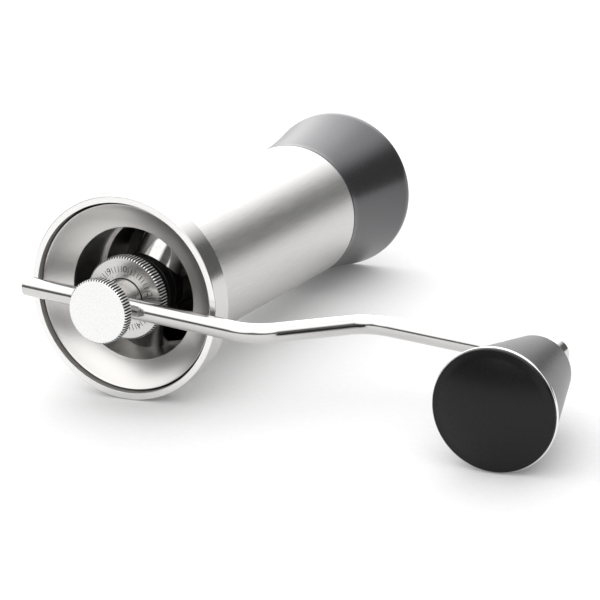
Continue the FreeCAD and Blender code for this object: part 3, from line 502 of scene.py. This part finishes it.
def engraved(mesh, cutter_shape):
    """The mesh with the cutter's solids cut out of it."""
    cutter_mesh = finish_mesh(cutter_shape, "engraving")
    blank = bpy.data.objects.new("blank", mesh)
    cutter = bpy.data.objects.new("engraving", cutter_mesh)
    for item in (blank, cutter):
        bpy.context.scene.collection.objects.link(item)
    cut = blank.modifiers.new("cut", "BOOLEAN")
    cut.operation = "DIFFERENCE"
    cut.solver = "EXACT"
    cut.object = cutter
    bpy.context.view_layer.update()
    result = bpy.data.meshes.new_from_object(blank.evaluated_get(bpy.context.evaluated_depsgraph_get()))
    for item in (blank, cutter):
        bpy.data.objects.remove(item)
    result.name = mesh.name
    result.shade_smooth()
    result.set_sharp_from_angle(angle=SHARP_ANGLE)
    return result


def make_dial():
    """Knurled dial with engraved and filled numerals on its face."""
    outer, foot, top = radius_of("adjusting_dial"), base_of("adjusting_dial"), top_of("adjusting_dial")
    thread, land, boss, recess = 4.06 * MM, 5.1 * MM, 8.0 * MM, 6.45 * MM
    base, recess_floor, bevel, step = top - 4.2 * MM, top - 4.7 * MM, 0.5 * MM, 0.6 * MM
    corners = [(thread, foot), (land, foot), (land, foot + step), (boss, foot + step), (boss, base),
               (outer - bevel, base), (outer, base + bevel), (outer, top - bevel), (outer - bevel, top),
               (recess, top, 0.15 * MM), (recess, recess_floor), (thread, recess_floor)]
    tooth_depth = 0.42 * MM
    blank = lathe("dial_turning", corners, teeth=86, tooth_depth=tooth_depth, knurled_reach=outer - bevel / 2)
    cut_depth, fill_top, fill_depth = 0.24 * MM, 0.05 * MM, 0.1 * MM
    mesh = engraved(blank, dial_marks(top, cut_depth))
    mesh.materials.clear()
    # the grooves' faces take the painted shade
    mark_knurl(mesh, base, tooth_depth)
    add_piece("dial_turning", mesh, "dial", "dial_steel", "adjusting_dial",
              details=(painted_shade_grooves, tooth_steel))
    fill = finish_mesh(dial_marks(top - fill_top - fill_depth / 2, fill_depth), "dial_marks")
    add_piece("dial_marks", fill, "dial", "cover_black", material=mark_fill)


def make_thumb_screw():
    """Knurled cap with a flat brushed face, and its stud."""
    outer, foot, top = radius_of("thumb_screw"), base_of("thumb_screw"), top_of("thumb_screw")
    stud, bevel = 2.4 * MM, 0.45 * MM
    base = top - 3.9 * MM
    corners = [(0, foot), (stud, foot, 0.3 * MM), (stud, base), (outer - bevel, base), (outer, base + bevel),
               (outer, top - bevel), (outer - bevel, top, 0.08 * MM), (0, top)]
    tooth_depth = 0.4 * MM
    mesh = lathe("thumb_screw_turning", corners, teeth=68, tooth_depth=tooth_depth, knurled_above=base,
                 knurled_reach=outer - bevel / 2)
    # the grooves' faces take the painted shade
    mark_knurl(mesh, base, tooth_depth)
    add_piece("thumb_screw_turning", mesh, "clamp_screw", "cap_steel", "thumb_screw",
              details=(painted_shade_grooves, tooth_steel))


# ---------------------------------------------------------------- crank rod and knob

def rod_path():
    """Points and directions along the rod's centre line, from the stub to the boss."""
    low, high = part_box("crank_rod")
    radius = (high.y - low.y) / 2
    level, drop_level = high.z - radius, low.z + radius
    bend = 14.0 * MM
    first = Vector((-40.5 * MM, 0, level - bend))
    second = Vector((-78.0 * MM, 0, drop_level + bend))
    gap = first - second
    turn = math.atan2(gap.z, gap.x) + math.asin(2 * bend / gap.length)
    bend_steps = 24
    points = [(Vector((high.x, 0, level)), Vector((-1, 0, 0)))]
    for centre, side in ((first, 1), (second, -1)):
        for step in range(bend_steps + 1):
            share = step / bend_steps
            angle = turn * (share if side > 0 else 1 - share)
            across = Vector((-math.sin(angle), 0, math.cos(angle))) * side
            points.append((centre + across * bend, Vector((-math.cos(angle), 0, -math.sin(angle)))))
    points.append((Vector((low.x, 0, drop_level)), Vector((-1, 0, 0))))
    return points, radius


def make_rod():
    """Bent round rod with chamfered ends."""
    points, radius = rod_path()
    chamfer, sides = 0.45 * MM, 48
    stub, stub_way = points[0]
    tip, tip_way = points[-1]
    stations = [
        (stub, stub_way, 0.0),
        (stub, stub_way, radius - chamfer),
        (stub + stub_way * chamfer, stub_way, radius),
        *((place, way, radius) for place, way in points[1:-1]),
        (tip - tip_way * chamfer, tip_way, radius),
        (tip, tip_way, radius - chamfer),
        (tip, tip_way, 0.0),
    ]
    shape = bmesh.new()
    rings = []
    for place, way, reach in stations:
        if reach == 0:
            rings.append([shape.verts.new(place)])
            continue
        side = Vector((0, 1, 0))
        up = way.cross(side)
        ring = []
        for index in range(sides):
            angle = FULL_TURN * index / sides
            ring.append(shape.verts.new(place + (side * math.cos(angle) + up * math.sin(angle)) * reach))
        rings.append(ring)
    for lower, upper in zip(rings, rings[1:]):
        bridge_rings(shape, lower, upper)
    add_piece("rod_bar", finish_mesh(shape, "rod_bar"), "arm", "rod_steel", "crank_rod")


def make_knob():
    """Conical knob, bright trim ring and shallow dome."""
    wide = radius_of("knob_trim_ring")
    trim_base, trim_top = base_of("knob_trim_ring"), top_of("knob_trim_ring")
    base, seat = base_of("knob_shell"), top_of("upper_knob_bush")
    spigot, top = base_of("knob_cap"), top_of("knob_cap")
    narrow, bush, socket = 10.2 * MM, 4.6 * MM, 12.0 * MM
    rim = wide - TRIM_EDGE
    shell = [(bush, base), (narrow, base, 1.4 * MM), (rim, trim_base, 0.15 * MM), (socket, trim_base),
             (socket, seat), (bush, seat)]
    mesh = lathe("knob_turning", shell, KNOB_AXIS)
    add_piece("knob_turning", mesh, "knob", "knob_black", "knob_shell")
    ring = [(socket, trim_base), (wide, trim_base, TRIM_EDGE), (wide, trim_top, TRIM_EDGE),
            (socket, trim_top)]
    mesh = lathe("trim_ring_turning", ring, KNOB_AXIS)
    add_piece("trim_ring_turning", mesh, "knob", "trim_chrome", "knob_trim_ring")
    shoulder, draft = 0.9 * MM, 0.05 * MM
    crown = rim - shoulder
    rise = top - trim_top - shoulder
    dome = arc((crown, trim_top + shoulder), (0, top), (crown * crown + rise * rise) / (2 * rise))
    cap = [(0, spigot), (socket, spigot, 0.3 * MM), (socket, trim_top), (rim, trim_top),
           (rim - draft, trim_top + shoulder, shoulder), *dome]
    mesh = lathe("dome_turning", cap, KNOB_AXIS)
    add_piece("dome_turning", mesh, "knob", "knob_black", "knob_cap")


# ---------------------------------------------------------------- floor, light and camera

CAMERA_PLACE = Vector((-0.25733, -0.17477, 0.60990))
CAMERA_RIGHT = Vector((-0.9039, -0.0622, -0.4231))
CAMERA_FORWARD = Vector((0.3843, 0.3162, -0.8674))
CAMERA_LENS = 107.4

# each light: its centre as shares of up from the floor, towards the collar's side and sideways, its outer and
# inner angle in degrees, and its radiance
ROOM_LIGHT = 0.14
LIGHTS = (
    (0.906, -0.272, 0.324, 70, 46, 1.8),
    (0.77, 0.64, 0.0, 40, 30, 1.75),
    (0.77, 0.36, -0.53, 40, 30, 1.75),
    (0.55, -0.76, 0.35, 44, 12, 2.5),
)
FLOOR_GLOW = 0.1


def floor_plane():
    """The plane that the lying grinder touches with its collar, its cup and its knob: (normal, distance)."""
    cup_radius, cup_height = radius_of("catch_cup"), base_of("catch_cup") + CUP_EDGE
    collar_radius, collar_height = radius_of("top_collar"), base_of("top_collar") + COLLAR_EDGE
    knob_radius, knob_height = radius_of("knob_trim_ring"), base_of("knob_trim_ring") + TRIM_EDGE
    slope = (collar_radius - cup_radius) / (collar_height - cup_height)
    flat = 1 / math.sqrt(1 + slope * slope)
    lift = slope * flat
    reach = cup_radius * flat - lift * cup_height
    sideways = (knob_radius * flat - lift * knob_height - reach) / KNOB_AXIS.x
    normal = Vector((sideways, -math.sqrt(flat * flat - sideways * sideways), lift))
    return normal, -reach


FLOOR_NORMAL, FLOOR_DISTANCE = floor_plane()


def make_floor():
    """A pale sheet that shows from above only, so that it hides nothing from below."""
    side = 4.0
    material, tree, shader = new_material("pale_floor")
    speckle = grain(tree, surface_point(tree, AXIS), (2 * MM, 2 * MM, 2 * MM))
    tree.links.new(shades(tree, speckle, (0.65, 0.65, 0.65), (0.67, 0.67, 0.67)), shader.inputs["Base Color"])
    shader.inputs["Roughness"].default_value = 0.75
    shader.inputs["Specular IOR Level"].default_value = 0.2
    shader.inputs["Emission Color"].default_value = (1, 1, 1, 1)
    shader.inputs["Emission Strength"].default_value = FLOOR_GLOW
    clear = tree.nodes.new("ShaderNodeBsdfTransparent")
    geometry = tree.nodes.new("ShaderNodeNewGeometry")
    mix = tree.nodes.new("ShaderNodeMixShader")
    tree.links.new(geometry.outputs["Backfacing"], mix.inputs["Fac"])
    tree.links.new(shader.outputs[0], mix.inputs[1])
    tree.links.new(clear.outputs[0], mix.inputs[2])
    tree.links.new(mix.outputs[0], tree.nodes["Material Output"].inputs["Surface"])
    grid = bmesh.new()
    bmesh.ops.create_grid(grid, x_segments=8, y_segments=8, size=side / 2)
    mesh = bpy.data.meshes.new("floor")
    grid.to_mesh(mesh)
    grid.free()
    floor = bpy.data.objects.new("floor", mesh)
    floor.data.materials.append(material)
    floor.matrix_world = Matrix.Translation(FLOOR_NORMAL * FLOOR_DISTANCE) @ \
        FLOOR_NORMAL.to_track_quat("Z", "Y").to_matrix().to_4x4()
    bpy.context.scene.collection.objects.link(floor)


def light_cap(tree, direction, centre, outer, inner, radiance):
    """Brightness of a round soft light: full within the inner angle of its centre, none beyond the outer."""
    facing = tree.nodes.new("ShaderNodeVectorMath")
    facing.operation = "DOT_PRODUCT"
    facing.inputs[1].default_value = centre.normalized()
    tree.links.new(direction, facing.inputs[0])
    edge = tree.nodes.new("ShaderNodeMapRange")
    edge.interpolation_type = "SMOOTHSTEP"
    edge.inputs["From Min"].default_value = math.cos(math.radians(outer))
    edge.inputs["From Max"].default_value = math.cos(math.radians(inner))
    edge.inputs["To Min"].default_value = 0.0
    edge.inputs["To Max"].default_value = radiance
    tree.links.new(facing.outputs["Value"], edge.inputs["Value"])
    return edge.outputs["Result"]


def brighter(tree, first, second):
    """The larger of two brightness values."""
    total = tree.nodes.new("ShaderNodeMath")
    total.operation = "MAXIMUM"
    for socket, value in zip(total.inputs, (first, second)):
        if isinstance(value, float):
            socket.default_value = value
        else:
            tree.links.new(value, socket)
    return total.outputs[0]


def make_sky():
    """Four soft lights in a dim room: an overhead softbox, two fills on the collar's side and a light over
    the cup's side. The camera sees plain white past the floor."""
    world = bpy.data.worlds.new("studio")
    bpy.context.scene.world = world
    world.use_nodes = True
    tree = world.node_tree
    tree.nodes.clear()
    up = FLOOR_NORMAL
    front = (Vector((0, 0, 1)) - up * up.z).normalized()
    right = front.cross(up)
    if right.x < 0:
        right = -right
    direction = tree.nodes.new("ShaderNodeTexCoord").outputs["Generated"]
    light = ROOM_LIGHT
    for rise, forward, rightward, outer, inner, radiance in LIGHTS:
        centre = up * rise + front * forward + right * rightward
        light = brighter(tree, light, light_cap(tree, direction, centre, outer, inner, radiance))
    room = tree.nodes.new("ShaderNodeBackground")
    tree.links.new(light, room.inputs["Color"])
    white = tree.nodes.new("ShaderNodeBackground")
    white.inputs["Color"].default_value = (1, 1, 1, 1)
    seen = tree.nodes.new("ShaderNodeLightPath")
    mix = tree.nodes.new("ShaderNodeMixShader")
    tree.links.new(seen.outputs["Is Camera Ray"], mix.inputs["Fac"])
    tree.links.new(room.outputs[0], mix.inputs[1])
    tree.links.new(white.outputs[0], mix.inputs[2])
    output = tree.nodes.new("ShaderNodeOutputWorld")
    tree.links.new(mix.outputs[0], output.inputs["Surface"])


def make_camera():
    data = bpy.data.cameras.new("camera")
    data.lens = CAMERA_LENS
    data.sensor_width = 36.0
    data.clip_start = 0.01
    data.clip_end = 20.0
    camera = bpy.data.objects.new("camera", data)
    back = -CAMERA_FORWARD.normalized()
    right = (CAMERA_RIGHT - back * CAMERA_RIGHT.dot(back)).normalized()
    up = back.cross(right)
    camera.matrix_world = Matrix((
        (right.x, up.x, back.x, CAMERA_PLACE.x),
        (right.y, up.y, back.y, CAMERA_PLACE.y),
        (right.z, up.z, back.z, CAMERA_PLACE.z),
        (0, 0, 0, 1)))
    bpy.context.scene.collection.objects.link(camera)
    bpy.context.scene.camera = camera


paint_cad_nodes()
make_catch_cup()
make_collar_and_funnel()
make_bearing_cover()
make_dial()
make_thumb_screw()
make_rod()
make_knob()
make_floor()
make_sky()
make_camera()
bpy.context.scene.view_settings.view_transform = "Standard"
